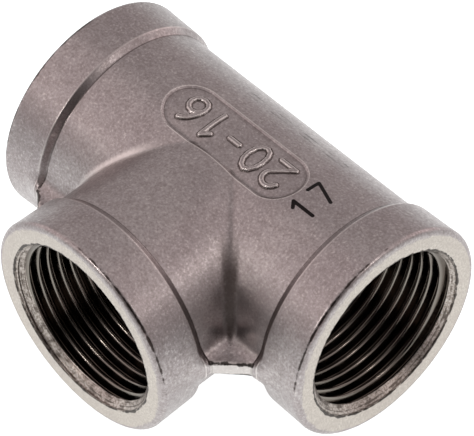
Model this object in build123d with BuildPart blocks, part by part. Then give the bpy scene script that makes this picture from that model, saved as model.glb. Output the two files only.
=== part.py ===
from build123d import *
from math import sqrt
import os

# A threaded equal tee: one stainless steel investment casting with three tapped sockets.
# Frame: the run lies along X, the branch leaves towards -Y, +Z is up, and the origin is the
# point where the run's axis and the branch's axis cross. The fitting lies on its three collars.
# All lengths are in millimetres.

# The thread: 3/4 inch parallel pipe thread, 14 to the inch
THREAD_MAJOR_RADIUS = 13.22
THREAD_DEPTH = 1.16  # from the thread's roots in to its crests

# Sockets and the cored passage
SOCKET_DEPTH = 15.0  # from an end face to the inner end of its tapped land
MOUTH_CLEARANCE = 0.18  # how far the entry chamfer stands outside the thread's roots
CORE_CLEARANCE = 0.18  # how far the cored passage stands outside the thread's roots

# Outside of the casting
RUN_REACH = 29.4  # from the crossing of the axes to each end face of the run
BRANCH_REACH = 28.8  # from the crossing of the axes to the end face of the branch
WALL = 2.26  # the casting's wall between the cored passage and the round barrels
COLLAR_WIDTH = 6.9  # from an end face to the collar's back edge
COLLAR_HEIGHT = 0.77  # how far the collar's back edge stands proud of the barrel
COLLAR_FLARE = 0.2  # how much wider the collar's radius is at its face
COLLAR_STEP_LENGTH = 0.9  # the sloped step down from the collar to the barrel
COLLAR_STEP_ROUND = 0.3  # rounding at the top and the foot of that step
FACE_EDGE_ROUND = 0.3  # rounding round the outside of each end face
CREASE_ROUND = 2.5  # the cast fillet where the two barrels meet
CREASE_BITE = 0.01  # how far that fillet's edges cut into the barrels

# Webs: a flat rib in each inside corner of the tee, between the collars
WEB_THICKNESS = 2.4
WEB_EDGE_ROUND = 0.4
WEB_END_OVERLAP = 0.8  # how far each end of a web runs on into its collar

# Recessed panel on the top, which carries the fitting's marking
PANEL_LENGTH = 24.4
PANEL_WIDTH = 7.8
PANEL_DEPTH = 0.35

# Worked out from the sizes above. A socket is drawn at the thread's crests, its minor diameter.
thread_minor_radius = THREAD_MAJOR_RADIUS - THREAD_DEPTH
mouth_radius = THREAD_MAJOR_RADIUS + MOUTH_CLEARANCE
core_radius = THREAD_MAJOR_RADIUS + CORE_CLEARANCE
barrel_radius = core_radius + WALL
collar_back_radius = barrel_radius + COLLAR_HEIGHT
collar_front_radius = collar_back_radius + COLLAR_FLARE
panel_floor_radius = barrel_radius - PANEL_DEPTH

# Each arm is turned about its own axis. Its section is drawn with the axis along the sketch's
# x and the radius along its y, which points down, so that the seam of each barrel lies below.
run_plane = Plane(origin=(0, 0, 0), x_dir=(1, 0, 0), z_dir=(0, 1, 0))
branch_plane = Plane(origin=(0, 0, 0), x_dir=(0, -1, 0), z_dir=(1, 0, 0))


def arm_section(reach):
    """Half section of the outside of an arm, from the crossing to its end face."""
    collar_back = reach - COLLAR_WIDTH
    with BuildSketch() as section:
        with BuildLine():
            Polyline(
                (0, 0),
                (0, barrel_radius),
                (collar_back - COLLAR_STEP_LENGTH, barrel_radius),
                (collar_back, collar_back_radius),
                (reach, collar_front_radius),
                (reach, 0),
                close=True,
            )
        make_face()
        foot, top = section.vertices().filter_by(lambda v: v.Y > 0).sort_by(Axis.X)[1:3]
        fillet((foot, top), COLLAR_STEP_ROUND)
        face_corner = section.vertices().sort_by_distance((reach, collar_front_radius, 0))[0]
        fillet(face_corner, FACE_EDGE_ROUND)
    return section.sketch


def socket_section(reach):
    """Half section of a socket with its entry chamfer, and of the cored passage behind it."""
    land_end = reach - SOCKET_DEPTH
    with BuildSketch() as section:
        with BuildLine():
            Polyline(
                (0, 0),
                (0, core_radius),
                (land_end, core_radius),
                (land_end + core_radius - thread_minor_radius, thread_minor_radius),
                (reach - mouth_radius + thread_minor_radius, thread_minor_radius),
                (reach, mouth_radius),
                (reach, 0),
                close=True,
            )
        make_face()
    return section.sketch


# Outside of the run: one half turned about X, and the other its mirror image
with BuildPart() as run_arm:
    with BuildSketch(run_plane):
        add(arm_section(RUN_REACH))
    revolve(axis=Axis.X)
    mirror(about=Plane.YZ)

# Outside of the branch
with BuildPart() as branch_arm:
    with BuildSketch(branch_plane):
        add(arm_section(BRANCH_REACH))
    revolve(axis=Axis.Y)

# The fillet along the crease on the +X side. The ball that rolls along the crease has its centre
# on an ellipse in the upright plane between the run and the branch. The filler is the wedge of
# metal between the ball's two lines of contact, less the channel that the ball sweeps.
centre_reach = barrel_radius + CREASE_ROUND
wedge_reach = 2 * centre_reach
wedge_side = wedge_reach * barrel_radius / centre_reach
path_height = centre_reach - CREASE_BITE
crease_plane = Plane(origin=(0, 0, 0), x_dir=(1, -1, 0), z_dir=(1, 1, 0))
with BuildPart() as crease_fillet:
    with BuildSketch(crease_plane):
        Ellipse((barrel_radius + centre_reach) / sqrt(2), barrel_radius)
    extrude(amount=centre_reach, both=True)
    with BuildSketch():
        with BuildLine():
            Polyline((0, 0), (wedge_reach, -wedge_side), (wedge_side, -wedge_reach), close=True)
        make_face()
    extrude(amount=centre_reach, both=True, mode=Mode.INTERSECT)
    with BuildLine(crease_plane) as ball_path:
        EllipticalCenterArc((0, 0), sqrt(2) * path_height, path_height, start_angle=-90, arc_size=180)
    with BuildSketch(ball_path.line ^ 0):
        Circle(CREASE_ROUND)
    sweep(mode=Mode.SUBTRACT)

# One web, in the inside corner on the +X side. Its outer edge is the straight line between the
# back edges of the two collars, and its other sides end inside the barrels.
web_run_end = Vector(RUN_REACH - COLLAR_WIDTH, -collar_back_radius)
web_branch_end = Vector(collar_back_radius, COLLAR_WIDTH - BRANCH_REACH)
web_overlap = (web_run_end - web_branch_end).normalized() * WEB_END_OVERLAP
web_root = barrel_radius / 2
with BuildPart() as web:
    with BuildSketch():
        with BuildLine():
            Polyline(
                web_run_end + web_overlap,
                web_branch_end - web_overlap,
                (web_root, web_branch_end.Y),
                (web_root, -web_root),
                (web_run_end.X, -web_root),
                close=True,
            )
        make_face()
    extrude(amount=WEB_THICKNESS / 2, both=True)
    flat_edges = web.edges().filter_by(Axis.Z, reverse=True)
    fillet(flat_edges.sort_by_distance((RUN_REACH, -BRANCH_REACH, 0))[:2], WEB_EDGE_ROUND)

# What the panel is cut with: a slot-shaped prism that stops at the panel's curved floor
with BuildPart() as panel_cut:
    with BuildSketch(Plane.XY.offset(panel_floor_radius / 2)):
        SlotOverall(PANEL_LENGTH, PANEL_WIDTH)
    extrude(amount=barrel_radius)
    Cylinder(panel_floor_radius, 2 * RUN_REACH, rotation=(0, 90, 0), mode=Mode.SUBTRACT)
    Cylinder(
        panel_floor_radius,
        BRANCH_REACH,
        rotation=(90, 0, 0),
        align=(Align.CENTER, Align.CENTER, Align.MIN),
        mode=Mode.SUBTRACT,
    )

with BuildPart() as tee_body:
    add(run_arm.part)
    add(branch_arm.part)
    for corner in (crease_fillet.part, web.part):
        add(corner)
        add(mirror(corner, about=Plane.YZ, mode=Mode.PRIVATE))
    # The run's bore goes right through, and the branch's bore opens into it
    with BuildSketch(run_plane):
        add(socket_section(RUN_REACH))
        mirror(about=Plane.YZ)
    revolve(axis=Axis.X, mode=Mode.SUBTRACT)
    with BuildSketch(branch_plane):
        add(socket_section(BRANCH_REACH))
    revolve(axis=Axis.Y, mode=Mode.SUBTRACT)
    add(panel_cut.part, mode=Mode.SUBTRACT)

tee_body.part.label = "tee_body"
os.makedirs("parts", exist_ok=True)
export_step(tee_body.part, "parts/tee_body.step")
print("tee_body is valid:", tee_body.part.is_valid, "and its volume is", round(tee_body.part.volume), "mm3")
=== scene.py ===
# %% [markdown]
# # A cast and tapped pipe tee
# The real thing is one stainless steel investment casting. Wax is moulded, coated in ceramic and
# melted out, and steel is poured into the shell. The skin is blasted clean, the three ends are
# faced and chamfered on a lathe, and a tap cuts the thread in each.
# The CAD model holds the sizes. It loads first, as a frame that never moves, and everything here
# is built in that frame: the run along X, the branch towards -Y, and Z up.

# %% The frame
import math

import bmesh
import bpy
import numpy as np
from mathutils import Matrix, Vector


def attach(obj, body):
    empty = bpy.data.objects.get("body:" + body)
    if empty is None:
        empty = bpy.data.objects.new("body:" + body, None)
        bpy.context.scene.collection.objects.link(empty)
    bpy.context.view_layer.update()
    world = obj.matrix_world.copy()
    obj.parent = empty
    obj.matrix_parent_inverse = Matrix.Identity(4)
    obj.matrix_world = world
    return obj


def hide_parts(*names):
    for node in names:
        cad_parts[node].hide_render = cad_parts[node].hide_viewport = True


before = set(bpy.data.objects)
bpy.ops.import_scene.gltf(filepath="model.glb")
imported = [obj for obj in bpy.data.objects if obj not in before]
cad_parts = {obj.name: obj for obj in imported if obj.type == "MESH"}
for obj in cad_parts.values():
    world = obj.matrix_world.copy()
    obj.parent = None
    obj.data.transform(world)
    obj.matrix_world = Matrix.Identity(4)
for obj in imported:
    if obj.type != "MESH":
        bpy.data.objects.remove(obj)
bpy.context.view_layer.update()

MM = 0.001  # lengths below are in millimetres, and Blender's are in metres

# %% [markdown]
# ## The camera
# A long lens sees the tee nearly as a drawing does, with little shrinking towards the back. Its
# place and turn came from matching the rims of the collars, whose sizes are known, to their
# outlines in the picture. Lens shift slides the picture without turning the camera, so it moves
# the tee into place and leaves its shape alone.

# %% The camera
IMAGE_WIDTH = 474  # pixels
FOCAL_LENGTH = 5021.08  # in pixels of that image
OPTICAL_CENTRE = (-9.68, 1.87)  # in pixels, right of and below the middle of the image
CAMERA_PLACE = (337.02, -297.11, 520.72)
CAMERA_TURN = (40.7133, 1.5466, 46.9667)  # degrees about X, Y and Z
SENSOR = 36.0
CLIP = (0.05, 20.0)  # metres

lens = bpy.data.cameras.new("camera")
lens.sensor_width = SENSOR
lens.lens = SENSOR * FOCAL_LENGTH / IMAGE_WIDTH
lens.shift_x = -OPTICAL_CENTRE[0] / IMAGE_WIDTH
lens.shift_y = OPTICAL_CENTRE[1] / IMAGE_WIDTH
lens.clip_start = CLIP[0]
lens.clip_end = CLIP[1]
camera = bpy.data.objects.new("camera", lens)
camera.location = Vector(CAMERA_PLACE) * MM
camera.rotation_euler = [math.radians(turn) for turn in CAMERA_TURN]
bpy.context.scene.collection.objects.link(camera)
bpy.context.scene.camera = camera
print("camera:", round(camera.location.length, 3), "m away, lens", round(lens.lens), "mm")

# %% [markdown]
# ## The form, as a distance
# A casting has no sharp inside corners: its fillets flow into each other, and that is hard to
# build from patches. It is easy with a signed distance, a function that says how far a point is
# outside the metal, and is negative inside it. Round bars, plates and recesses are short
# formulas, and joining two of them with a fillet is one more. The surface is where the distance
# is zero.
# Every function here takes arrays, of points or of numbers in millimetres, and returns an array.

# %% Blends
def soft_max(a, b, width):
    """The larger of two, with the corner between them rounded over that width."""
    near = np.maximum(width - np.abs(a - b), 0) / width
    return np.maximum(a, b) + near * near * width / 4


def soft_min(a, b, width):
    return -soft_max(-a, -b, width)


def ease(t):
    """0 below 0, 1 above 1, and a smooth S between."""
    t = np.clip(t, 0, 1)
    return t * t * (3 - 2 * t)


def rolled(a, b, cosine, radius):
    """Two solids joined by the fillet that a rolling ball leaves. The cosine is between their
    surfaces' normals: where it nears 1 they are flush, and no fillet is left."""
    u = radius - a
    v = radius - b
    gap = np.sqrt(np.maximum(u * u + v * v - 2 * cosine * u * v, 0) / (1 - cosine * cosine))
    touching = (u > cosine * v) & (v > cosine * u)
    return np.where(touching, radius - gap, np.minimum(a, b))


# %% Gradients
PROBE = 0.01  # how far to each side the field is read
TINY = 1e-6  # keeps a divisor off zero


def slope(field, points):
    """The field's gradient at each point: the way straight out of the surface."""
    shifts = np.eye(3) * PROBE
    return np.stack([field(points + shift) - field(points - shift) for shift in shifts], 1) / (2 * PROBE)


def unit(vectors):
    return vectors / np.maximum(np.linalg.norm(vectors, axis=1, keepdims=True), TINY)


# %% [markdown]
# ## The casting
# Each arm is a round bar with a collar at its end. The crease between the two bars has a small
# cast fillet. A flat web fills each inside corner of the tee, which stiffens it and gives the
# molten steel a short way through. Its outer edge is the line between the two collars.

# %% The arms
RUN_REACH = 29.4  # from the crossing of the axes to each end face
BRANCH_REACH = 28.8
BARREL = 15.66  # radii
COLLAR_BACK = 16.43
COLLAR_FRONT = 16.63
COLLAR_WIDTH = 6.9
COLLAR_FLARE = (COLLAR_FRONT - COLLAR_BACK) / COLLAR_WIDTH
STEP_LENGTH = 0.9
STEP_RISE = (COLLAR_BACK - BARREL) / STEP_LENGTH
STEP_ROUND = 0.14
CREASE_ROUND = 1.5
FLUSH = 0.9998  # the cosine from which the two barrels count as flush


def collar_radius(along, reach):
    """An arm's outside radius: the barrel, a sloped step up, and a collar that flares a little."""
    back = reach - COLLAR_WIDTH
    ramp = soft_max((along - back + STEP_LENGTH) * STEP_RISE, 0 * along, STEP_ROUND)
    top = COLLAR_BACK - BARREL + (along - back) * COLLAR_FLARE
    return BARREL + soft_min(ramp, top, STEP_ROUND)


def arm(along, around, reach):
    radius = collar_radius(along, reach)
    lean = (collar_radius(along + PROBE, reach) - radius) / PROBE
    return (around - radius) / np.sqrt(1 + lean * lean)


def run_around(p):
    return np.hypot(p[:, 1], p[:, 2])


def branch_around(p):
    return np.hypot(p[:, 0], p[:, 2])


def barrels_cosine(p):
    """Between the outward normals of the run and of the branch."""
    return np.clip(p[:, 2] ** 2 / np.maximum(run_around(p) * branch_around(p), TINY), 0, FLUSH)


def plain_arms(p):
    run = arm(np.abs(p[:, 0]), run_around(p), RUN_REACH)
    branch = arm(-p[:, 1], branch_around(p), BRANCH_REACH)
    return run, np.maximum(branch, p[:, 1])


def arms(p):
    """The run and the branch, with the fillet along the crease between them."""
    run, branch = plain_arms(p)
    return np.where(p[:, 1] < 0, rolled(run, branch, barrels_cosine(p), CREASE_ROUND), run)


# %% The webs
WEB_HALF = 1.2  # half a web's thickness
WEB_ROUND = 2.6  # how far the blend along its root spreads
WEB_EDGE = 0.45
WEB_NEAR = (7, -7, 6)  # webs lie beyond this x and y, and within this z
web_line = np.array([RUN_REACH - COLLAR_WIDTH - COLLAR_BACK, BRANCH_REACH - COLLAR_WIDTH - COLLAR_BACK])
web_normal = np.array([web_line[1], -web_line[0]]) / np.hypot(*web_line)
web_reach = web_normal @ (RUN_REACH - COLLAR_WIDTH, -COLLAR_BACK)
print("a web's edge lies", round(web_reach, 2), "mm from the origin, and faces", web_normal.round(3))


def web_out(p):
    """How far each point is beyond the web's outer edge."""
    return np.abs(p[:, 0]) * web_normal[0] + p[:, 1] * web_normal[1] - web_reach


def web(p):
    side = np.abs(p[:, 2]) - WEB_HALF + WEB_EDGE
    end = web_out(p) + WEB_EDGE
    inside = np.minimum(np.maximum(side, end), 0)
    return inside + np.hypot(np.maximum(side, 0), np.maximum(end, 0)) - WEB_EDGE


def body(p):
    """The casting's outside, without its marking."""
    out = arms(p)
    x, y, z = p.T
    near = (np.abs(x) > WEB_NEAR[0]) & (y < WEB_NEAR[1]) & (np.abs(z) < WEB_NEAR[2])
    out[near] = soft_min(out[near], web(p[near]), WEB_ROUND)
    return out


# %% [markdown]
# ## The marking
# The foundry leaves a shallow, round-ended recess on top, and raises its marks in there so that
# they don't rub off. Later, a laser burns a small black number beside it. Both are drawn the
# same way: a digit is a path, and a stroke is everything within some distance of it. Plain
# numbers stand in for the marks of a real fitting.
# The raised digits change the form itself. The burnt number changes only the colour.

# %% Digits as paths
ARC_POINTS = 13
FAR = 99.0  # further than any point of the tee is from a digit


def arc(centre, radii, start, end):
    """Points along part of an ellipse, from one angle to another, in degrees."""
    turns = np.radians(np.linspace(start, end, ARC_POINTS))
    return [(centre[0] + radii[0] * math.cos(t), centre[1] + radii[1] * math.sin(t)) for t in turns]


DIGITS = {  # in a box one unit high, round its middle
    "0": arc((0, 0), (0.29, 0.5), 0, 360),
    "1": [(-0.16, 0.3), (0.06, 0.5), (0.06, -0.5)],
    "2": arc((0, 0.22), (0.28, 0.28), 165, -35) + [(-0.3, -0.5), (0.3, -0.5)],
    "6": arc((0.3, -0.2), (0.59, 0.7), 105, 180) + arc((0, -0.21), (0.29, 0.29), 180, 540),
    "7": [(-0.28, 0.5), (0.28, 0.5), (-0.1, -0.5)],
    "-": [(-0.2, 0), (0.2, 0)],
}


def from_path(u, v, path):
    """How far each point (u, v) is from a path of straight runs."""
    nearest = np.full(u.shape, FAR)
    for (u0, v0), (u1, v1) in zip(path, path[1:]):
        du = u1 - u0
        dv = v1 - v0
        t = np.clip(((u - u0) * du + (v - v0) * dv) / max(du * du + dv * dv, TINY), 0, 1)
        nearest = np.minimum(nearest, np.hypot(u - u0 - t * du, v - v0 - t * dv))
    return nearest


def from_digits(u, v, digits, height, spacing):
    """How far each point is from the paths of a row of digits, centred on u = v = 0."""
    nearest = np.full(u.shape, FAR)
    for place, digit in enumerate(digits):
        middle = (place - (len(digits) - 1) / 2) * spacing
        path = [(middle + du * height, dv * height) for du, dv in DIGITS[digit]]
        nearest = np.minimum(nearest, from_path(u, v, path))
    return nearest


# %% The panel
PANEL_LENGTH = 24.4
PANEL_WIDTH = 7.8
PANEL_DEPTH = 0.35
PANEL_WALL = 0.8  # how wide the panel's sloping wall is
PANEL_STEEP = 1.6  # how fast that wall starts down, where 2 would be its steepest
PANEL_RIM = 0.05  # how soft the change to its rounded foot is, as a share of the depth
PANEL_MIDDLE = 0.25  # along X
RAISED = "20-16"
RAISED_HEIGHT = 4.7
RAISED_SPACING = 4.1
RAISED_STROKE = 0.34  # half a stroke's width
RAISED_WALL = 0.28
RAISED_BY = 0.3


def panel(p):
    """How deep the surface is sunk at each point."""
    x = p[:, 0] - PANEL_MIDDLE
    half = (PANEL_LENGTH - PANEL_WIDTH) / 2
    outside = np.hypot(np.maximum(np.abs(x) - half, 0), p[:, 1]) - PANEL_WIDTH / 2
    down = np.clip(0.5 - outside / PANEL_WALL, 0, 1)  # 0 at the rim, 1 at the wall's foot
    sunk = PANEL_DEPTH * soft_min(down * (2 - down), PANEL_STEEP * down, PANEL_RIM)
    here = np.flatnonzero((outside < 0) & (p[:, 2] > 0))
    stroke = from_digits(-x[here], -p[here, 1], RAISED, RAISED_HEIGHT, RAISED_SPACING) - RAISED_STROKE
    sunk[here] -= RAISED_BY * ease(0.5 - stroke / RAISED_WALL)
    return np.where(p[:, 2] > 0, sunk, 0)


def skin(p):
    return body(p) + panel(p)


print("the panel holds", RAISED, "raised by", RAISED_BY, "mm from a floor", PANEL_DEPTH, "mm deep")

# %% The burnt number
BURNT = "17"
BURNT_PLACE = 15.4  # along X; the number reads along Y, so it stands across the run
BURNT_HEIGHT = 3.7
BURNT_SPACING = 3.9
BURNT_STROKE = 0.27


def burnt(p):
    """How far each point is outside the burnt strokes, and negative inside them."""
    lying = from_digits(p[:, 1], BURNT_PLACE - p[:, 0], BURNT, BURNT_HEIGHT, BURNT_SPACING)
    return np.where(p[:, 2] > 0, lying - BURNT_STROKE, FAR)


print("the burnt number is", BURNT, "in strokes", 2 * BURNT_STROKE, "mm wide")

# %% [markdown]
# ## From a distance to a mesh
# The space is cut into small boxes. Each box that the surface passes through gets one vertex,
# and wherever the surface crosses a grid line, the four boxes round that line share a face. The
# vertices are then slid onto the surface exactly, along the gradient. The grid's planes are
# close together at the collars' steps and at the webs, so those edges come out clean, and
# further apart elsewhere.

# %% Grid planes
def spaced(start, end, step, fine_step, *fine):
    """Grid planes from start to end, closer together in each fine range."""
    cuts = sorted({start, end, *(c for pair in fine for c in pair if start < c < end)})
    planes = [start]
    for low, high in zip(cuts, cuts[1:]):
        middle = (low + high) / 2
        wanted = fine_step if any(a < middle < b for a, b in fine) else step
        count = max(1, round((high - low) / wanted))
        planes += [low + (high - low) * (i + 1) / count for i in range(count)]
    return np.array(planes)


# %% Vertices and faces
SETTLE_ROUNDS = 5
SETTLE_STEP = 0.3  # the furthest that a vertex slides in one round


def settle(field, points):
    """Slides points onto the surface, straight along its gradient."""
    for _ in range(SETTLE_ROUNDS):
        gradient = slope(field, points)
        move = field(points) / np.maximum((gradient ** 2).sum(1), TINY)
        points = points - gradient * np.clip(move, -SETTLE_STEP, SETTLE_STEP)[:, None]
    return points


def surface(field, rough, band, planes):
    """Vertices and four-sided faces where the field is zero. Only the grid points where the rough
    field is within the band are worked out in full."""
    shape = tuple(len(p) for p in planes)
    grid = np.stack(np.meshgrid(*planes, indexing="ij"), -1).reshape(-1, 3)
    value = rough(grid)
    near = np.abs(value) < band
    value[near] = field(grid[near])
    value = value.reshape(shape)
    grid = grid.reshape(*shape, 3)
    cells = tuple(n - 1 for n in shape)
    total = np.zeros((*cells, 3))
    count = np.zeros(cells)
    crossings = []
    for axis in range(3):
        low = tuple(slice(None, -1) if a == axis else slice(None) for a in range(3))
        high = tuple(slice(1, None) if a == axis else slice(None) for a in range(3))
        crossed = (value[low] < 0) != (value[high] < 0)
        a = value[low][crossed][:, None]
        b = value[high][crossed][:, None]
        point = (grid[low][crossed] * b - grid[high][crossed] * a) / (b - a)
        around = np.repeat(np.argwhere(crossed)[:, None], 4, 1)
        around[:, (1, 2), (axis + 1) % 3] -= 1
        around[:, (2, 3), (axis + 2) % 3] -= 1
        around[a[:, 0] >= 0] = around[a[:, 0] >= 0][:, ::-1]
        for side in range(4):
            cell = around[:, side]
            good = ((cell >= 0) & (cell < cells)).all(1)
            np.add.at(total, tuple(cell[good].T), point[good])
            np.add.at(count, tuple(cell[good].T), 1)
        crossings.append(around[((around >= 0) & (around < cells)).all((1, 2))])
    used = count > 0
    number = np.full(cells, -1)
    number[used] = np.arange(used.sum())
    faces = number[tuple(np.moveaxis(np.concatenate(crossings), 2, 0))]
    return settle(field, total[used] / count[used][:, None]), faces


# %% The cast skin
GRID = 0.5
STEP_GRID = 0.16  # across the collars' steps
WEB_GRID = 0.25  # across the webs' edges
SKIN_SEAM = 24.2  # where the skin hands over to a turned end, along the run
BRANCH_SEAM = SKIN_SEAM - RUN_REACH + BRANCH_REACH
STEP_BAND = (21.3, 22.9)  # along an arm
BRANCH_BAND = (-22.3, -20.7)
WEB_BAND = (0.5, 2.2)
HEADROOM = 17.3
WEB_STAND = 4.5  # a web stands up to 3.6 mm clear of the barrels


def mirrored(band):
    return (-band[1], -band[0])


skin_points, skin_faces = surface(skin, lambda p: np.minimum(*plain_arms(p)), WEB_STAND, (
    spaced(-SKIN_SEAM, SKIN_SEAM, GRID, STEP_GRID, STEP_BAND, mirrored(STEP_BAND)),
    spaced(-BRANCH_SEAM, HEADROOM, GRID, STEP_GRID, BRANCH_BAND),
    spaced(-HEADROOM, HEADROOM, GRID, WEB_GRID, WEB_BAND, mirrored(WEB_BAND)),
))
print("cast skin:", len(skin_points), "points")

# %% The cored passage
CORE = 13.4  # its radius, and that of the mouth of each entry chamfer
CORE_ROUND = 0.3
CORE_SEAM = 14.0
BRANCH_CORE_SEAM = 13.74
CORE_BAND = (13.0, 14.0)
CORE_GRID = 0.9
CORE_FINE = 0.2  # near the passage's ends
CORE_HEADROOM = 14.6


def core(p):
    """Negative in the metal, so that its surface faces the passage."""
    run = run_around(p) - CORE
    branch = np.maximum(branch_around(p) - CORE, p[:, 1])
    return -np.where(p[:, 1] < 0, rolled(run, branch, barrels_cosine(p), CORE_ROUND), run)


core_points, core_faces = surface(core, core, CORE_GRID * 2, (
    spaced(-CORE_SEAM, CORE_SEAM, CORE_GRID, CORE_FINE, CORE_BAND, mirrored(CORE_BAND)),
    spaced(-BRANCH_CORE_SEAM, CORE_HEADROOM, CORE_GRID, CORE_FINE, mirrored(CORE_BAND)),
    spaced(-CORE_HEADROOM, CORE_HEADROOM, CORE_GRID, CORE_GRID),
))
print("cored passage:", len(core_points), "points")

# %% [markdown]
# ## The turned ends
# Lathe work is round about an arm's axis, so a grid wrapped round that axis suits it. Rings of
# points go in along the tapped land, out over the chamfer, across the face, round its edge and
# back over the collar.
# The thread is the same grid with its radius changed by angle and depth together. A 55 degree
# pipe thread has straight flanks with rounded crests and roots, 14 to the inch. Where the
# chamfer or the relief is wider than the thread, the wider one is what the tool left, and that
# makes the thread fade out as a real one does.

# %% The thread
PITCH = 25.4 / 14
THREAD_CREST = 12.06  # radii
THREAD_ROOT = 13.22
THREAD_MIDDLE = (THREAD_CREST + THREAD_ROOT) / 2
SHARP_HEIGHT = 0.9605 * PITCH  # of the triangle before its tips are rounded off
TIP_ROUND = 0.28
CUT_ROUND = 0.05
SOCKET_DEPTH = 15.0


def cut_radius(along, angle, reach, start):
    """The radius of the wall that the tools cut. At angle 0, a crest lies at the start."""
    turn = (along - start) / PITCH - angle / (2 * np.pi)
    tooth = 4 * np.abs((turn + 0.5) % 1 - 0.5) - 1
    thread = soft_max(THREAD_MIDDLE + tooth * SHARP_HEIGHT / 2, np.full_like(turn, THREAD_CREST), TIP_ROUND)
    thread = soft_min(thread, np.full_like(turn, THREAD_ROOT), TIP_ROUND)
    chamfer = CORE - (reach - along)
    relief = np.minimum(CORE - (along - reach + SOCKET_DEPTH), CORE)
    return soft_max(soft_max(thread, chamfer, CUT_ROUND), relief, CUT_ROUND)


def cut_slopes(along, angle, reach, start):
    """How fast that radius changes along the axis, and round it."""
    here = cut_radius(along, angle, reach, start)
    onward = cut_radius(along + PROBE, angle, reach, start) - cut_radius(along - PROBE, angle, reach, start)
    turned = cut_radius(along, angle + PROBE, reach, start) - cut_radius(along, angle - PROBE, reach, start)
    return onward / (2 * PROBE), turned / (2 * PROBE) / here


print("thread: pitch", round(PITCH, 3), "mm, from radius", THREAD_CREST, "to", THREAD_ROOT)

# %% The face, its edge and the collar
EDGE_ROUND = 0.8
MOUTH_BREAK = 0.06  # how far the sharp edge of the mouth is broken
FACE_RINGS = (MOUTH_BREAK, 0.4, 1.2, 2.0)  # outwards from the mouth
COLLAR_RINGS = (1.0, 2.4, 4.2)  # back from the face
CAST, TURNED, TAPPED = range(3)  # material slots


def outer_rings(reach):
    """(along, radius, normal along, normal out, material) for each ring from the mouth outwards."""
    rings = [(reach, CORE + out, 1, 0, TURNED) for out in FACE_RINGS]
    for turn in np.radians(np.linspace(0, 90, 6)):
        c = math.cos(turn)
        s = math.sin(turn)
        rings.append((reach - EDGE_ROUND * (1 - c), COLLAR_FRONT - EDGE_ROUND * (1 - s), c, s, CAST))
    rings += [(reach - b, COLLAR_FRONT - b * COLLAR_FLARE, -COLLAR_FLARE, 1, CAST) for b in COLLAR_RINGS]
    return rings


# %% One end
COLUMNS = 96
RING_STEP = 0.131
FIRST_RING = 0.05  # from the end of the cored passage
LAST_RING = 0.04  # from the face
columns = np.arange(COLUMNS)
angles = columns * 2 * np.pi / COLUMNS


def turned_end(outward, side, reach, start, inner):
    """Points, normals, faces and each face's material, for one end."""
    up = np.cross(outward, side)
    spoke = np.outer(np.cos(angles), side) + np.outer(np.sin(angles), up)
    lap = np.outer(-np.sin(angles), side) + np.outer(np.cos(angles), up)
    rings = []
    normals = []
    kinds = []
    for along in [*np.arange(inner + FIRST_RING, reach - FIRST_RING, RING_STEP), reach - LAST_RING]:
        lean, twist = cut_slopes(along, angles, reach, start)
        rings.append(outward * along + spoke * cut_radius(along, angles, reach, start)[:, None])
        normals.append(unit(outward * lean[:, None] + lap * twist[:, None] - spoke))
        kinds.append(TURNED if along > reach - CORE + THREAD_CREST else TAPPED)
    for along, radius, n_along, n_out, kind in outer_rings(reach):
        rings.append(outward * along + spoke * radius)
        normals.append(unit(outward * n_along + spoke * n_out))
        kinds.append(kind)
    faces = []
    for i in range(len(rings) - 1):
        low = i * COLUMNS + columns
        faces.append(np.stack([low, np.roll(low, -1), np.roll(low, -1) + COLUMNS, low + COLUMNS], 1))
    kinds = np.repeat(kinds[:-1], COLUMNS)
    return np.concatenate(rings), np.concatenate(normals), np.concatenate(faces), kinds


# %% [markdown]
# ## One closed mesh
# The skin, the passage and the three ends are separate so far, with open edges that nearly meet.
# A zip closes each gap: it walks round both edges together and puts a triangle on whichever is
# behind. The result has no hole, as a solid must.

# %% Open edges
def open_loops(faces):
    """The chains of vertices along the open edges of a mesh."""
    edges = np.stack([faces, np.roll(faces, -1, 1)], 2).reshape(-1, 2)
    directed = {(a, b) for a, b in edges.tolist()}
    follow = {a: b for a, b in directed if (b, a) not in directed}
    loops = []
    while follow:
        at = next(iter(follow))
        loop = []
        while at in follow:
            loop.append(at)
            at = follow.pop(at)
        loops.append(np.array(loop))
    return loops


def furthest(loops, points, outward):
    return max(loops, key=lambda loop: (points[loop] @ outward).mean())


# %% The zip
def in_turn(points, loop, side, up):
    """A loop's vertices by their angle round an axis, with the first one again at the end."""
    turn = np.arctan2(points[loop] @ up, points[loop] @ side) % (2 * np.pi)
    order = np.argsort(turn)
    return np.append(loop[order], loop[order[0]]), np.append(turn[order], turn[order[0]] + 2 * np.pi)


def zipped(points, loop, ring, side, up):
    a, turn_a = in_turn(points, loop, side, up)
    b, turn_b = in_turn(points, ring, side, up)
    i = j = 0
    triangles = []
    while i < len(a) - 1 or j < len(b) - 1:
        if j == len(b) - 1 or (i < len(a) - 1 and turn_a[i + 1] < turn_b[j + 1]):
            triangles.append((a[i], a[i + 1], b[j]))
            i += 1
        else:
            triangles.append((a[i], b[j + 1], b[j]))
            j += 1
    return triangles


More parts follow.
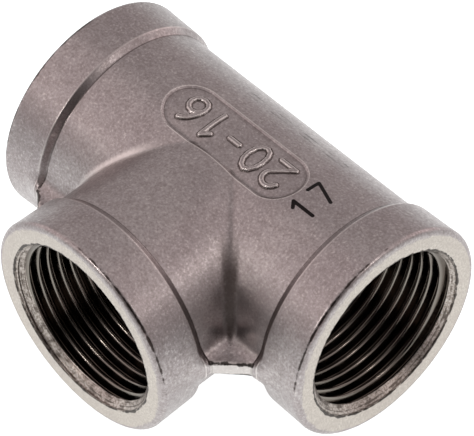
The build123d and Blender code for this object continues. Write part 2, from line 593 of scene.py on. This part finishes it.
# %% All ends together
ENDS = (  # outward, side, reach, where the thread starts, and where the passage ends
    ((1, 0, 0), (0, 1, 0), RUN_REACH, 25.39, CORE_SEAM),
    ((-1, 0, 0), (0, 1, 0), RUN_REACH, 25.39, CORE_SEAM),
    ((0, -1, 0), (1, 0, 0), BRANCH_REACH, 24.47, BRANCH_CORE_SEAM),
)
points = np.concatenate([skin_points, core_points])
normals = np.concatenate([unit(slope(skin, skin_points)), unit(slope(core, core_points))])
quads = np.concatenate([skin_faces, core_faces + len(skin_points)])
kinds = np.full(len(quads), CAST)
skin_loops = open_loops(skin_faces)
core_loops = [loop + len(skin_points) for loop in open_loops(core_faces)]
triangles = []
for outward, side, reach, start, inner in ENDS:
    outward = np.array(outward)
    up = np.cross(outward, side)
    first = len(points)
    end_points, end_normals, end_faces, end_kinds = turned_end(outward, side, reach, start, inner)
    points = np.concatenate([points, end_points])
    normals = np.concatenate([normals, end_normals])
    quads = np.concatenate([quads, end_faces + first])
    kinds = np.concatenate([kinds, end_kinds])
    last = len(points) - COLUMNS
    triangles += zipped(points, furthest(core_loops, points, outward), first + columns, side, up)
    triangles += zipped(points, furthest(skin_loops, points, outward), last + columns, side, up)
triangles = np.array(triangles)
print("zipped", len(skin_loops) + len(core_loops), "edges with", len(triangles), "triangles")


# %% Faces that look outwards
def facing(faces):
    """Turns round the faces that look away from their vertices' normals."""
    corners = points[faces]
    across = np.cross(corners[:, 2] - corners[:, 0], corners[:, -1] - corners[:, 1])
    wrong = (across * normals[faces].mean(1)).sum(1) < 0
    faces[wrong] = faces[wrong][:, ::-1]
    return faces


mesh = bpy.data.meshes.new("tee_casting")
mesh.from_pydata(points * MM, [], facing(quads).tolist() + facing(triangles).tolist())
slots = np.append(kinds, np.full(len(triangles), CAST))
mesh.polygons.foreach_set("material_index", slots.astype(np.int32))

# %% [markdown]
# The digits need points much closer together than the rest of the casting, so the faces there
# are subdivided, and their new points are slid onto the surface too.

# %% Finer points under the marking
FINE_LOW = (-12.7, -4.8, 14.2)
FINE_HIGH = (17.9, 4.8, 16.2)
FINE_CUTS = 3

work = bmesh.new()
work.from_mesh(mesh)
inside = [all(low < c / MM < high for low, c, high in zip(FINE_LOW, v.co, FINE_HIGH)) for v in work.verts]
edges = [edge for edge in work.edges if all(inside[v.index] for v in edge.verts)]
bmesh.ops.subdivide_edges(work, edges=edges, cuts=FINE_CUTS, use_grid_fill=True)
work.to_mesh(mesh)
work.free()
added = np.empty(3 * len(mesh.vertices), np.float32)
mesh.vertices.foreach_get("co", added)
added = settle(skin, added.reshape(-1, 3)[len(points):] / MM)
points = np.concatenate([points, added])
normals = np.concatenate([normals, unit(slope(skin, added))])
mesh.vertices.foreach_set("co", (points * MM).astype(np.float32).ravel())
print(len(added), "points added under the marking")

# %% Smooth shading
mesh.polygons.foreach_set("use_smooth", np.ones(len(mesh.polygons), bool))
mesh.update()
mesh.normals_split_custom_set_from_vertices(normals.tolist())
tee = bpy.data.objects.new("tee_casting", mesh)
bpy.context.scene.collection.objects.link(tee)
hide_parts("tee_body")
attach(tee, "root")

uses = np.empty(len(mesh.loops), np.int32)
mesh.loops.foreach_get("edge_index", uses)
mesh.calc_loop_triangles()
print(len(mesh.loop_triangles), "triangles")
print(int((np.bincount(uses) != 2).sum()), "edges not shared by two faces")

# %% [markdown]
# ## What the materials need to know
# A finish changes with the form: edges rub bright, lathe marks run round an axis, and here hollows
# get painted shade and one crease a painted highlight. Each of these is a number that the form can
# tell at every vertex, and a material reads it by its name. A distance stays straight between
# vertices, so a material can cut it off at zero for a crisp edge, where a mask would come out blurred.

# %% A number at every vertex
# The cast skin's points come first, and those added under the marking come last.
on_skin = np.ones(len(points), bool)
on_skin[len(skin_points):len(points) - len(added)] = False
print(int(on_skin.sum()), "of", len(points), "points lie on the cast skin")


def store(name, values):
    mesh.attributes.new(name, "FLOAT", "POINT").data.foreach_set("value", values.astype(np.float32))
    print(name, "runs from", values.min().round(2), "to", values.max().round(2))


# %% Places on an arm
# depth is how far in from the nearest end face, and radius is the distance from that arm's axis.
run_depth = RUN_REACH - np.abs(points[:, 0])
branch_depth = BRANCH_REACH + points[:, 1]
of_branch = branch_depth < run_depth
store("depth", np.where(of_branch, branch_depth, run_depth))
store("radius", np.where(of_branch, branch_around(points), run_around(points)))

# %% The facing cuts
# faced is the distance from the middle of the facing cut, which never quite matches the casting.
RUN_FACING = (0.26, -0.30)  # that middle, off the run's axis along Y and Z
BRANCH_FACING = (-0.28, -0.28)  # and off the branch's axis along X and Z
off_run = np.hypot(points[:, 1] - RUN_FACING[0], points[:, 2] - RUN_FACING[1])
off_branch = np.hypot(points[:, 0] - BRANCH_FACING[0], points[:, 2] - BRANCH_FACING[1])
store("faced", np.where(of_branch, off_branch, off_run))

# %% Bends
# bend is how sharply the skin turns, per millimetre, and it is negative in a hollow.
BEND_PROBE = 0.12
BEND_MOST = 3.0


def bend(p):
    """The field's Laplacian, which is the sum of the surface's two curvatures."""
    around = sum(skin(p + side * shift) for shift in np.eye(3) * BEND_PROBE for side in (1, -1))
    return np.clip((around - 6 * skin(p)) / BEND_PROBE ** 2, -BEND_MOST, BEND_MOST)


bends = np.zeros(len(points))
bends[on_skin] = bend(points[on_skin])
store("bend", bends)

# %% The crotch and the crease
# nook is 1 down in the crotch on the +X side. There the colour is darkened, partly as dark scale that the
# beads missed and partly as painted shade, and the skin is rougher. The second number is 1 along the
# crease on the other side, which gets a painted highlight.
NOOK_WIDTH = 1.6  # how far from both barrels the dark reaches
NOOK_SOFT = 0.8
NOOK_HIGH = 13.5
NOOK_FADE = 4.5
NOOK_FOOT = (-3.9, -2.9)  # it fades out on the web, this far inside the web's outer edge
CREASE_HIGHLIGHT_WIDTH = 0.85
CREASE_HIGHLIGHT_SOFT = 0.4
CREASE_HIGHLIGHT_HIGH = 14.6
CREASE_HIGHLIGHT_FADE = 2.5


def nook(p):
    dark = ease((NOOK_WIDTH - np.maximum(*plain_arms(p))) / NOOK_SOFT)
    dark *= ease((NOOK_HIGH - np.abs(p[:, 2])) / NOOK_FADE)
    return dark * ease((NOOK_FOOT[1] - web_out(p)) / (NOOK_FOOT[1] - NOOK_FOOT[0])) * (p[:, 0] > 0)


# A painted highlight: 1 along the crease on the -X side, where the colour is lightened.
def crease_highlight(p):
    pale = ease((CREASE_HIGHLIGHT_WIDTH - np.maximum(*plain_arms(p))) / CREASE_HIGHLIGHT_SOFT)
    return pale * ease((CREASE_HIGHLIGHT_HIGH - np.abs(p[:, 2])) / CREASE_HIGHLIGHT_FADE) * ((p[:, 0] < 0) & (p[:, 1] < 0))


store("nook", nook(points) * on_skin)
store("crease_highlight", crease_highlight(points) * on_skin)

# %% The webs' edges
# brink is how far from the upper and lower edge of a web, where the colour darkens in a ragged line.
# The other number is how far beyond a web's outer edge. That face is painted paler there: painted light, as
# from the white table below it.
WEB_CLEAR = (0.3, 1.4)  # a web shows these marks only this far from both arms
WEB_FAR = 20  # more than any part of the casting lies beyond a web's edge

beside = np.where(on_skin, np.minimum(*plain_arms(points)), 0)
merging = 1 - ease((beside - WEB_CLEAR[0]) / (WEB_CLEAR[1] - WEB_CLEAR[0]))
on_brink = np.hypot(np.abs(points[:, 2]) - WEB_HALF, web_out(points))
store("brink", np.minimum(on_brink + merging, BEND_MOST))
store("web_face_light", np.maximum(web_out(points) - WEB_FAR * merging, -BEND_MOST))

# %% The scores and the burnt number
# scored is how far from two scores on the upper back, which a grinding wheel left.
# burnt is how far outside the burnt strokes.
SCORES = (33.5, 37.3)  # degrees round the run from its top, towards +Y
SCORE_MIDDLE = 3.0
SCORE_HALF = 9.5

turned_by = np.degrees(np.arctan2(points[:, 1], points[:, 2]))
off_score = np.min([np.abs(turned_by - turn) for turn in SCORES], 0) * math.radians(BARREL)
past_end = np.maximum(np.abs(points[:, 0] - SCORE_MIDDLE) - SCORE_HALF, 0)
store("scored", np.minimum(np.hypot(off_score, past_end), BEND_MOST))
store("burnt", np.minimum(burnt(points), BEND_MOST))

# %% [markdown]
# ## Finishes
# The whole tee is one stainless steel, and three ways of working it left three surfaces: blasted
# outside, turned on the ends and tapped in the threads.
# A metal's colour is the share of light that it throws back, and its IOR stays at the default,
# because a metal doesn't need it. The same steel can look so different because of how rough each
# surface is, and what lies on it, so those are what the three materials are made of.

# %% Colours and nodes
def linear(code):
    """An sRGB hex colour as the linear RGBA that a shader wants."""
    parts = [int(code[i:i + 2], 16) / 255 for i in (1, 3, 5)]
    return [c / 12.92 if c <= 0.04045 else ((c + 0.055) / 1.055) ** 2.4 for c in parts] + [1.0]


def node(tree, kind, settings, inputs):
    """Adds a node with its settings, sets or links its inputs, and returns its outputs. Inputs go
    by name or number. In MapRange 1 and 2 are the range read and 3 and 4 the range given, which is
    0 to 1 by itself. In Mix 0 is the share, 6 and 7 are two colours, and 2 and 3 two numbers."""
    made = tree.nodes.new("ShaderNode" + kind)
    for name, value in settings.items():
        setattr(made, name, value)
    for name, value in inputs.items():
        if isinstance(value, bpy.types.NodeSocket):
            tree.links.new(value, made.inputs[name])
        else:
            made.inputs[name].default_value = value
    return made.outputs


# %% The start of a finish
COLOURS = {"data_type": "RGBA"}
MOST = (0.3, 0.7)  # nearly all values of a noise lie within this
MIDDLE = (0.35, 0.65)  # and most lie within this


def finish(name, metallic, roughness, told=(), patterns=()):
    """A new material with its nodes, its shader, and a dictionary of what its looks are worked out
    from: the place in millimetres, the stored numbers that it is told, and its patterns. Each of
    these is a noise, with a name, a size in millimetres, a detail and a roughness."""
    material = bpy.data.materials.new(name)
    material.use_nodes = True
    tree = material.node_tree
    shader = tree.nodes["Principled BSDF"]
    shader.inputs["Metallic"].default_value = metallic
    shader.inputs["Roughness"].default_value = roughness
    place = node(tree, "TexCoord", {}, {})["Object"]
    read = {"place": node(tree, "VectorMath", {"operation": "SCALE"}, {0: place, "Scale": 1 / MM})[0]}
    for number in told:
        read[number] = node(tree, "Attribute", {"attribute_name": number}, {})["Fac"]
    for pattern, size, detail, rough in patterns:
        inputs = {"Vector": read["place"], "Scale": 1 / size, "Detail": detail, "Roughness": rough}
        read[pattern] = node(tree, "TexNoise", {}, inputs)["Fac"]
    print(name, "reads", ", ".join(read))
    return material, tree, shader, read


# %% [markdown]
# ## The blasted skin
# Glass beads are blown at the casting until its ceramic scale is gone. They dent the steel all
# over, so it looks like grey satin: light spreads out, and no lamp shows its edges.
# A bump alone could draw the dents. Here the same noise also changes the colour and the roughness,
# because in a real dent all three change together. Then come the places that follow the form: painted
# shade in hollows, rubbed edges, painted shade over scale that the beads missed in the crotch, a painted
# highlight along one crease, and painted light on the webs' outer faces.

# %% Bead-blasted stainless steel
# The dents are about 0.1 mm across, which is too fine to show here, so the grain is coarser.
CAST_PATTERNS = (
    ("grain", 0.36, 4.0, 0.65),
    ("mottle", 1.3, 4.0, 0.6),  # where the beads hit more or less
    ("ripple", 2.6, 2.0, 0.5),  # the slight waves that the ceramic shell leaves
    ("cloud", 9.0, 3.0, 0.5),  # slow changes over the whole casting
)
CAST_TOLD = ("bend", "nook", "crease_highlight", "depth", "faced", "scored", "web_face_light", "brink", "burnt")
cast, tree, shader, read = finish("bead_blasted_stainless", 1.0, 0.42, CAST_TOLD, CAST_PATTERNS)
mesh.materials.append(cast)

# %% The dark lip by a face
# Where the facing cut ran out on the casting's rounded edge, the colour darkens in a broken band.
LIP_DEPTH = (0.8, 0.4)  # mm in from the face: where it begins, and where it is full
LIP_OUT = (16.7, 16.9)  # mm out from the middle of the cut
LIP_BREAKS = (1.0, 0.2)

edge = node(tree, "MapRange", {}, {"Value": read["depth"], 1: LIP_DEPTH[0], 2: LIP_DEPTH[1]})[0]
narrow = node(tree, "MapRange", {}, {"Value": read["faced"], 1: LIP_OUT[0], 2: LIP_OUT[1]})[0]
lip = node(tree, "Math", {"operation": "MULTIPLY"}, {0: edge, 1: narrow})[0]
breaks = {"Value": read["mottle"], 1: MOST[0], 2: MOST[1], 3: LIP_BREAKS[0], 4: LIP_BREAKS[1]}
broken = node(tree, "MapRange", {}, breaks)[0]
lip = node(tree, "Math", {"operation": "MULTIPLY"}, {0: lip, 1: broken})[0]
print("the dark lip is full within", LIP_DEPTH[1], "mm of a face")

# %% Ragged lines
# A line of even width looks drawn. A noise moves the edge of these two in and out.
SCORE_WANDER = (-0.15, 0.3)  # mm
SCORE_EDGE = (0.4, 0.1)
SCORE_PATCHES = (0.40, 0.54)
SCORE_SHARE = 0.85
BRINK_WANDER = (0.2, 0.55)  # mm

ripples = {"Value": read["ripple"], 1: MOST[0], 2: MOST[1], 3: SCORE_WANDER[0], 4: SCORE_WANDER[1]}
ragged = node(tree, "MapRange", {}, ripples)[0]
scored = node(tree, "Math", {"operation": "ADD"}, {0: read["scored"], 1: ragged})[0]
scratch = node(tree, "MapRange", {}, {"Value": scored, 1: SCORE_EDGE[0], 2: SCORE_EDGE[1]})[0]
left = {"Value": read["mottle"], 1: SCORE_PATCHES[0], 2: SCORE_PATCHES[1], 4: SCORE_SHARE}
patches = node(tree, "MapRange", {}, left)[0]
scratch = node(tree, "Math", {"operation": "MULTIPLY"}, {0: scratch, 1: patches})[0]
edges = {"Value": read["mottle"], 1: MIDDLE[0], 2: MIDDLE[1], 3: BRINK_WANDER[0], 4: BRINK_WANDER[1]}
ragged = node(tree, "MapRange", {}, edges)[0]
brink = node(tree, "Math", {"operation": "SUBTRACT"}, {0: read["brink"], 1: ragged})[0]
print("the line on a web's edge is", BRINK_WANDER[0], "to", BRINK_WANDER[1], "mm wide on each side")

# %% The casting's colour
SHADE_AND_SCALE_SHARE = 0.85
COATS = (  # what says where, the values at which it begins and is full, its share there, colour
    (read["mottle"], 0.60, 0.36, 0.4, "#8d8381"),  # dull patches
    (read["grain"], 0.52, 0.34, 0.5, "#7b7270"),  # the dents' floors
    (read["grain"], 0.56, 0.76, 0.7, "#ded8d4"),  # bright specks on their rims
    (read["bend"], -0.85, -2.1, 0.85, "#4a423f"),  # painted shade in hollows
    (read["nook"], 0, 1, SHADE_AND_SCALE_SHARE, "#4d4440"),  # painted shade and dark scale in the crotch
    (lip, 0.3, 0.5, 0.9, "#3b3431"),
    # painted highlight along the crease on the -X side
    (read["crease_highlight"], 0, 1, 0.75, "#e6e0dc"),
    (read["bend"], 0.9, 2.2, 0.75, "#dcd6d2"),  # rubbed edges
    (scratch, 0, 1, 1, "#57504e"),
    # painted light on a web's outer face
    (read["web_face_light"], -0.6, -0.05, 0.5, "#dcd7d2"),
    (brink, 0.1, -0.05, 0.9, "#2c2623"),
    (read["burnt"], 0.03, -0.03, 0.95, "#0c0a0a"),
)
patchy = node(tree, "MapRange", {}, {"Value": read["cloud"], 1: MIDDLE[0], 2: MIDDLE[1]})[0]
colour = node(tree, "Mix", COLOURS, {0: patchy, 6: linear("#a09898"), 7: linear("#aea7a6")})[2]
for where, begins, full, share, coat in COATS:
    share = node(tree, "MapRange", {}, {"Value": where, 1: begins, 2: full, 4: share})[0]
    colour = node(tree, "Mix", COLOURS, {0: share, 6: colour, 7: linear(coat)})[2]
tree.links.new(colour, shader.inputs["Base Color"])
print("the casting has", len(COATS), "coats over its bare colour")

# %% The casting's grain
GRAIN_ROUGH = (0.42, 0.28)  # from a dent's floor to its rim
SCALE_ROUGH = 0.75
CAST_BUMPS = {"ripple": 0.025, "mottle": 0.012, "grain": 0.010}  # heights in mm

grains = {"Value": read["grain"], 1: MOST[0], 2: MOST[1], 3: GRAIN_ROUGH[0], 4: GRAIN_ROUGH[1]}
rough = node(tree, "MapRange", {}, grains)[0]
scale = node(tree, "Math", {"operation": "MULTIPLY"}, {0: read["nook"], 1: SHADE_AND_SCALE_SHARE})[0]
rough = node(tree, "Mix", {}, {0: scale, 2: rough, 3: SCALE_ROUGH})[0]
tree.links.new(rough, shader.inputs["Roughness"])
under = {}
for pattern, height in CAST_BUMPS.items():
    inputs = {"Height": read[pattern], "Strength": 1.0, "Distance": height * MM, **under}
    under = {"Normal": node(tree, "Bump", {}, inputs)[0]}
tree.links.new(under["Normal"], shader.inputs["Normal"])
print("the grain stands", CAST_BUMPS["grain"], "mm high")

# %% [markdown]
# ## The turned faces
# A lathe tool faces each end and cuts the chamfer that leads a pipe in. It bares fresh steel and
# leaves fine rings, so a face looks paler than the skin, and a little brushed.
# Rings are easy to draw, because the radius and the depth are stored at every vertex: a sine of
# the one less the other gives rings on a face and on a chamfer alike.

# %% Turned stainless steel
TURNED_PATTERNS = (
    ("fine", 0.3, 4.0, 0.65),  # torn metal between the rings, drawn as coarse as it needs to show
    ("blotch", 1.4, 4.0, 0.6),  # stains from handling
)
turned, tree, shader, read = finish(
    "turned_stainless", 1.0, 0.4, ("depth", "radius", "faced"), TURNED_PATTERNS
)
mesh.materials.append(turned)

# %% The face's and the chamfer's colours
MOTTLED = (0.38, 0.62)
STAINED = (0.42, 0.62)
STAIN_SHARE = 0.5
RING_SIZE = 0.25  # mm between dark rings on the chamfer, drawn as coarse as it needs to show
RINGED = (1.0, 0.86)
RING_SHARE = 0.85
CHAMFER_DEPTH = (0.02, 0.08)  # mm in from the face, where the face's colour hands over

mottled = node(tree, "MapRange", {}, {"Value": read["fine"], 1: MOTTLED[0], 2: MOTTLED[1]})[0]
face = node(tree, "Mix", COLOURS, {0: mottled, 6: linear("#aca49b"), 7: linear("#cac3bb")})[2]
stains = {"Value": read["blotch"], 1: STAINED[0], 2: STAINED[1], 4: STAIN_SHARE}
stain = node(tree, "MapRange", {}, stains)[0]
face = node(tree, "Mix", COLOURS, {0: stain, 6: face, 7: linear("#b0a7a0")})[2]
chamfer = node(tree, "Mix", COLOURS, {0: mottled, 6: linear("#837971"), 7: linear("#c4bcb5")})[2]
round_it = node(tree, "CombineXYZ", {}, {0: read["radius"], 1: read["depth"]})[0]
ringed = node(tree, "TexNoise", {}, {"Vector": round_it, "Scale": 1 / RING_SIZE, "Detail": 2.0})["Fac"]
ringed = node(tree, "Math", {"operation": "ADD"}, {0: ringed, 1: read["blotch"]})[0]
ring = node(tree, "MapRange", {}, {"Value": ringed, 1: RINGED[0], 2: RINGED[1], 4: RING_SHARE})[0]
chamfer = node(tree, "Mix", COLOURS, {0: ring, 6: chamfer, 7: linear("#544b45")})[2]
inward = {"Value": read["depth"], 1: CHAMFER_DEPTH[0], 2: CHAMFER_DEPTH[1]}
inward = node(tree, "MapRange", {}, inward)[0]
colour = node(tree, "Mix", COLOURS, {0: inward, 6: face, 7: chamfer})[2]
print("the chamfer's colour begins", CHAMFER_DEPTH[0], "mm in from the face")

# %% The burr round the mouth
# The tool pushes a thin burr over the mouth's edge, and it holds dirt.
BURR_WANDER = (-0.06, 0.30)  # mm to each side of the edge; below 0 there is none
BURR_SOFT = 0.04
BURR_SHARE = 0.92

blotches = {"Value": read["blotch"], 1: MOST[0], 2: MOST[1], 3: BURR_WANDER[0], 4: BURR_WANDER[1]}
wander = node(tree, "MapRange", {}, blotches)[0]
away = node(tree, "Math", {"operation": "SUBTRACT"}, {0: read["radius"], 1: CORE + MOUTH_BREAK / 2})[0]
away = node(tree, "Math", {"operation": "ABSOLUTE"}, {0: away})[0]
away = node(tree, "Math", {"operation": "SUBTRACT"}, {0: away, 1: wander})[0]
burr = node(tree, "MapRange", {}, {"Value": away, 1: BURR_SOFT, 2: -BURR_SOFT, 4: BURR_SHARE})[0]
colour = node(tree, "Mix", COLOURS, {0: burr, 6: colour, 7: linear("#2b2521")})[2]
print("the burr reaches up to", BURR_WANDER[1], "mm to each side of the mouth's edge")

# %% Where the facing cut runs out
FACED_RADIUS = 15.75  # there, the casting's rounded edge is left as it was
FACED_RAGGED = 0.5
UNCUT_SOFT = 0.1

blotches = {"Value": read["blotch"], 1: MOST[0], 2: MOST[1], 3: -FACED_RAGGED / 2, 4: FACED_RAGGED / 2}
wander = node(tree, "MapRange", {}, blotches)[0]
beyond = node(tree, "Math", {"operation": "SUBTRACT"}, {0: read["faced"], 1: FACED_RADIUS})[0]
beyond = node(tree, "Math", {"operation": "ADD"}, {0: beyond, 1: wander})[0]
uncut = node(tree, "MapRange", {}, {"Value": beyond, 1: -UNCUT_SOFT, 2: UNCUT_SOFT})[0]
blasted = node(tree, "Mix", COLOURS, {0: mottled, 6: linear("#968d8b"), 7: linear("#b9b2b0")})[2]
colour = node(tree, "Mix", COLOURS, {0: uncut, 6: colour, 7: blasted})[2]
tree.links.new(colour, shader.inputs["Base Color"])
print("the facing cut runs out", FACED_RADIUS, "mm from its middle")

# %% The lathe's marks
LATHE_FEED = 0.22  # mm from mark to mark on a face; the real 0.1 or so is too fine to show here
TURNED_BUMPS = {"marks": 0.002, "fine": 0.015, "blotch": 0.02}  # heights in mm

across = node(tree, "Math", {"operation": "SUBTRACT"}, {0: read["radius"], 1: read["depth"]})[0]
turn = node(tree, "Math", {"operation": "MULTIPLY"}, {0: across, 1: 2 * math.pi / LATHE_FEED})[0]
read["marks"] = node(tree, "Math", {"operation": "SINE"}, {0: turn})[0]
under = {}
for pattern, height in TURNED_BUMPS.items():
    inputs = {"Height": read[pattern], "Strength": 1.0, "Distance": height * MM, **under}
    under = {"Normal": node(tree, "Bump", {}, inputs)[0]}
tree.links.new(under["Normal"], shader.inputs["Normal"])
print("a lathe mark each", LATHE_FEED, "mm")

# %% [markdown]
# ## The tapped threads
# A tap shaves the thread with polished teeth, in plenty of oil. That leaves the smoothest metal of
# all: the flanks mirror the dark side of the room, and catch the lamps only in thin lines.
# The thread's form is in the mesh already, so its finish has little to do. It is smooth, darker on
# the flanks and paler on the crests.

# %% Tapped stainless steel
CREST = (12.55, 12.2)  # radii in mm, from flank to crest
OIL_ROUGH = (0.1, 0.24)
TOOTH_MARK = 0.12  # mm between the scratches of the tap's teeth, coarser than the real ones
TOOTH_BUMP = 0.004  # their depth in mm

tapped, tree, shader, read = finish(
    "tapped_stainless", 1.0, 0.14, ("depth", "radius"), [("oil", 1.8, 3.0, 0.5)]
)
mesh.materials.append(tapped)
crest = node(tree, "MapRange", {}, {"Value": read["radius"], 1: CREST[0], 2: CREST[1]})[0]
colour = node(tree, "Mix", COLOURS, {0: crest, 6: linear("#574f48"), 7: linear("#7c766f")})[2]
tree.links.new(colour, shader.inputs["Base Color"])
oiled = {"Value": read["oil"], 1: MIDDLE[0], 2: MIDDLE[1], 3: OIL_ROUGH[0], 4: OIL_ROUGH[1]}
rough = node(tree, "MapRange", {}, oiled)[0]
tree.links.new(rough, shader.inputs["Roughness"])
drawn = node(tree, "CombineXYZ", {}, {0: read["radius"], 1: read["depth"]})[0]
mark = node(tree, "TexNoise", {}, {"Vector": drawn, "Scale": 1 / TOOTH_MARK, "Detail": 2.0})["Fac"]
bump = node(tree, "Bump", {}, {"Height": mark, "Strength": 1.0, "Distance": TOOTH_BUMP * MM})[0]
tree.links.new(bump, shader.inputs["Normal"])
print("crests are paler within a radius of", CREST[0], "mm")

# %% [markdown]
# ## The studio
# The tee stands on a matt white table in a pale room. Softboxes on the left, on the right, high up
# behind, high up on the left and low in front light it evenly, and two small lamps draw the bright
# flecks in the threads.
# The room is dark on the photographer's side. Polished metal would mirror that as a black patch,
# and blasted metal turns it into the soft shade that draws the valley between the two arms.
# The table glows for the camera and in reflections alone, so it looks white and casts no light.

# %% The table
TABLE_REACH = 3.0  # metres
TABLE_CORNERS = ((-1, -1), (1, -1), (1, 1), (-1, 1))
TABLE_COLOUR = "#d7e5e6"  # a little green, to even out the lamps' warm tint
GLOW_NEAR = 0.93  # strengths, where 1 is white
GLOW_FAR = 0.45
POOL = (0.055, 0.10)  # metres; a painted pool of light round the tee: the glow is near within the first, and far beyond the second

white, tree, shader, read = finish("white_table", 0.0, 0.9)
shader.inputs["Base Color"].default_value = linear(TABLE_COLOUR)
shader.inputs["Emission Color"].default_value = linear("#ffffff")
path = node(tree, "LightPath", {}, {})
seen = node(tree, "Math", {"operation": "MAXIMUM"}, {0: path["Is Camera Ray"], 1: path["Is Glossy Ray"]})[0]
seen = node(tree, "Math", {"operation": "MAXIMUM"}, {0: seen, 1: path["Is Transmission Ray"]})[0]
off = node(tree, "VectorMath", {"operation": "LENGTH"}, {0: read["place"]})["Value"]
pool = {"Value": off, 1: POOL[0] / MM, 2: POOL[1] / MM, 3: GLOW_NEAR, 4: GLOW_FAR}
glow = node(tree, "MapRange", {}, pool)[0]
glow = node(tree, "Math", {"operation": "MULTIPLY"}, {0: seen, 1: glow})[0]
tree.links.new(glow, shader.inputs["Emission Strength"])

table_mesh = bpy.data.meshes.new("table")
corners = [(x * TABLE_REACH, y * TABLE_REACH, -COLLAR_FRONT * MM) for x, y in TABLE_CORNERS]
table_mesh.from_pydata(corners, [], [(0, 1, 2, 3)])
table_mesh.materials.append(white)
table = bpy.data.objects.new("table", table_mesh)
bpy.context.scene.collection.objects.link(table)
print("the table lies at", -COLLAR_FRONT, "mm")

# %% The lamps
PINK = (1.0, 0.81, 0.81)
WHITE = (1.0, 0.95, 0.92)
LAMP_DISTANCE = 0.8  # metres
LAMPS = (  # name, azimuth (0 is +X, 90 is +Y), elevation, width, height, watts, colour
    ("left_softbox", -155, 15, 0.8, 0.6, 0.60, PINK),
    ("right_softbox", 85, 16, 0.6, 0.5, 0.66, PINK),
    ("back_softbox", 45, 50, 0.8, 0.6, 0.30, PINK),
    ("branch_softbox", -148, 50, 0.8, 0.6, 0.42, PINK),
    ("front_softbox", -40, 6, 0.5, 0.3, 0.36, PINK),
    ("left_spark", -100, 35, 0.14, 0.07, 0.85, WHITE),
    ("right_spark", 18, 38, 0.12, 0.06, 0.38, WHITE),
)


def direction(azimuth, elevation):
    """The unit vector that points there, from angles in degrees."""
    turn = math.radians(azimuth)
    rise = math.radians(elevation)
    return Vector((math.cos(rise) * math.cos(turn), math.cos(rise) * math.sin(turn), math.sin(rise)))


for name, azimuth, elevation, width, height, watts, colour in LAMPS:
    light = bpy.data.lights.new(name, "AREA")
    light.shape = "RECTANGLE"
    light.size = width
    light.size_y = height
    light.energy = watts
    light.color = colour
    lamp = bpy.data.objects.new(name, light)
    bpy.context.scene.collection.objects.link(lamp)
    lamp.location = direction(azimuth, elevation) * LAMP_DISTANCE
    lamp.rotation_mode = "QUATERNION"
    lamp.rotation_quaternion = direction(azimuth, elevation).to_track_quat("Z", "Y")
print(len(LAMPS), "lamps, of", round(sum(row[5] for row in LAMPS), 2), "watts in all")

# %% The room
ROOM_LIGHT = 0.63
ROOM_COLOUR = (1.0, 0.91, 0.91, 1)
DARK_SIDE = (-45, 15)  # azimuth and elevation of its middle
DARK_WITHIN = 25  # degrees from that middle; it fades out by the next number
PALE_BEYOND = 55

world = bpy.data.worlds.new("studio_room")
world.use_nodes = True
tree = world.node_tree
way = node(tree, "TexCoord", {}, {})["Generated"]
dot = {"operation": "DOT_PRODUCT"}
facing_dark = node(tree, "VectorMath", dot, {0: way, 1: direction(*DARK_SIDE)})["Value"]
light = node(tree, "MapRange", {"interpolation_type": "SMOOTHSTEP"}, {
    "Value": facing_dark,
    1: math.cos(math.radians(PALE_BEYOND)),
    2: math.cos(math.radians(DARK_WITHIN)),
    3: ROOM_LIGHT,
    4: 0.0,
})[0]
background = tree.nodes["Background"]
background.inputs["Color"].default_value = ROOM_COLOUR
tree.links.new(light, background.inputs["Strength"])
bpy.context.scene.world = world
bpy.context.scene.view_settings.view_transform = "Standard"
print("the room's strength is", ROOM_LIGHT, "and 0 in the middle of its dark side")
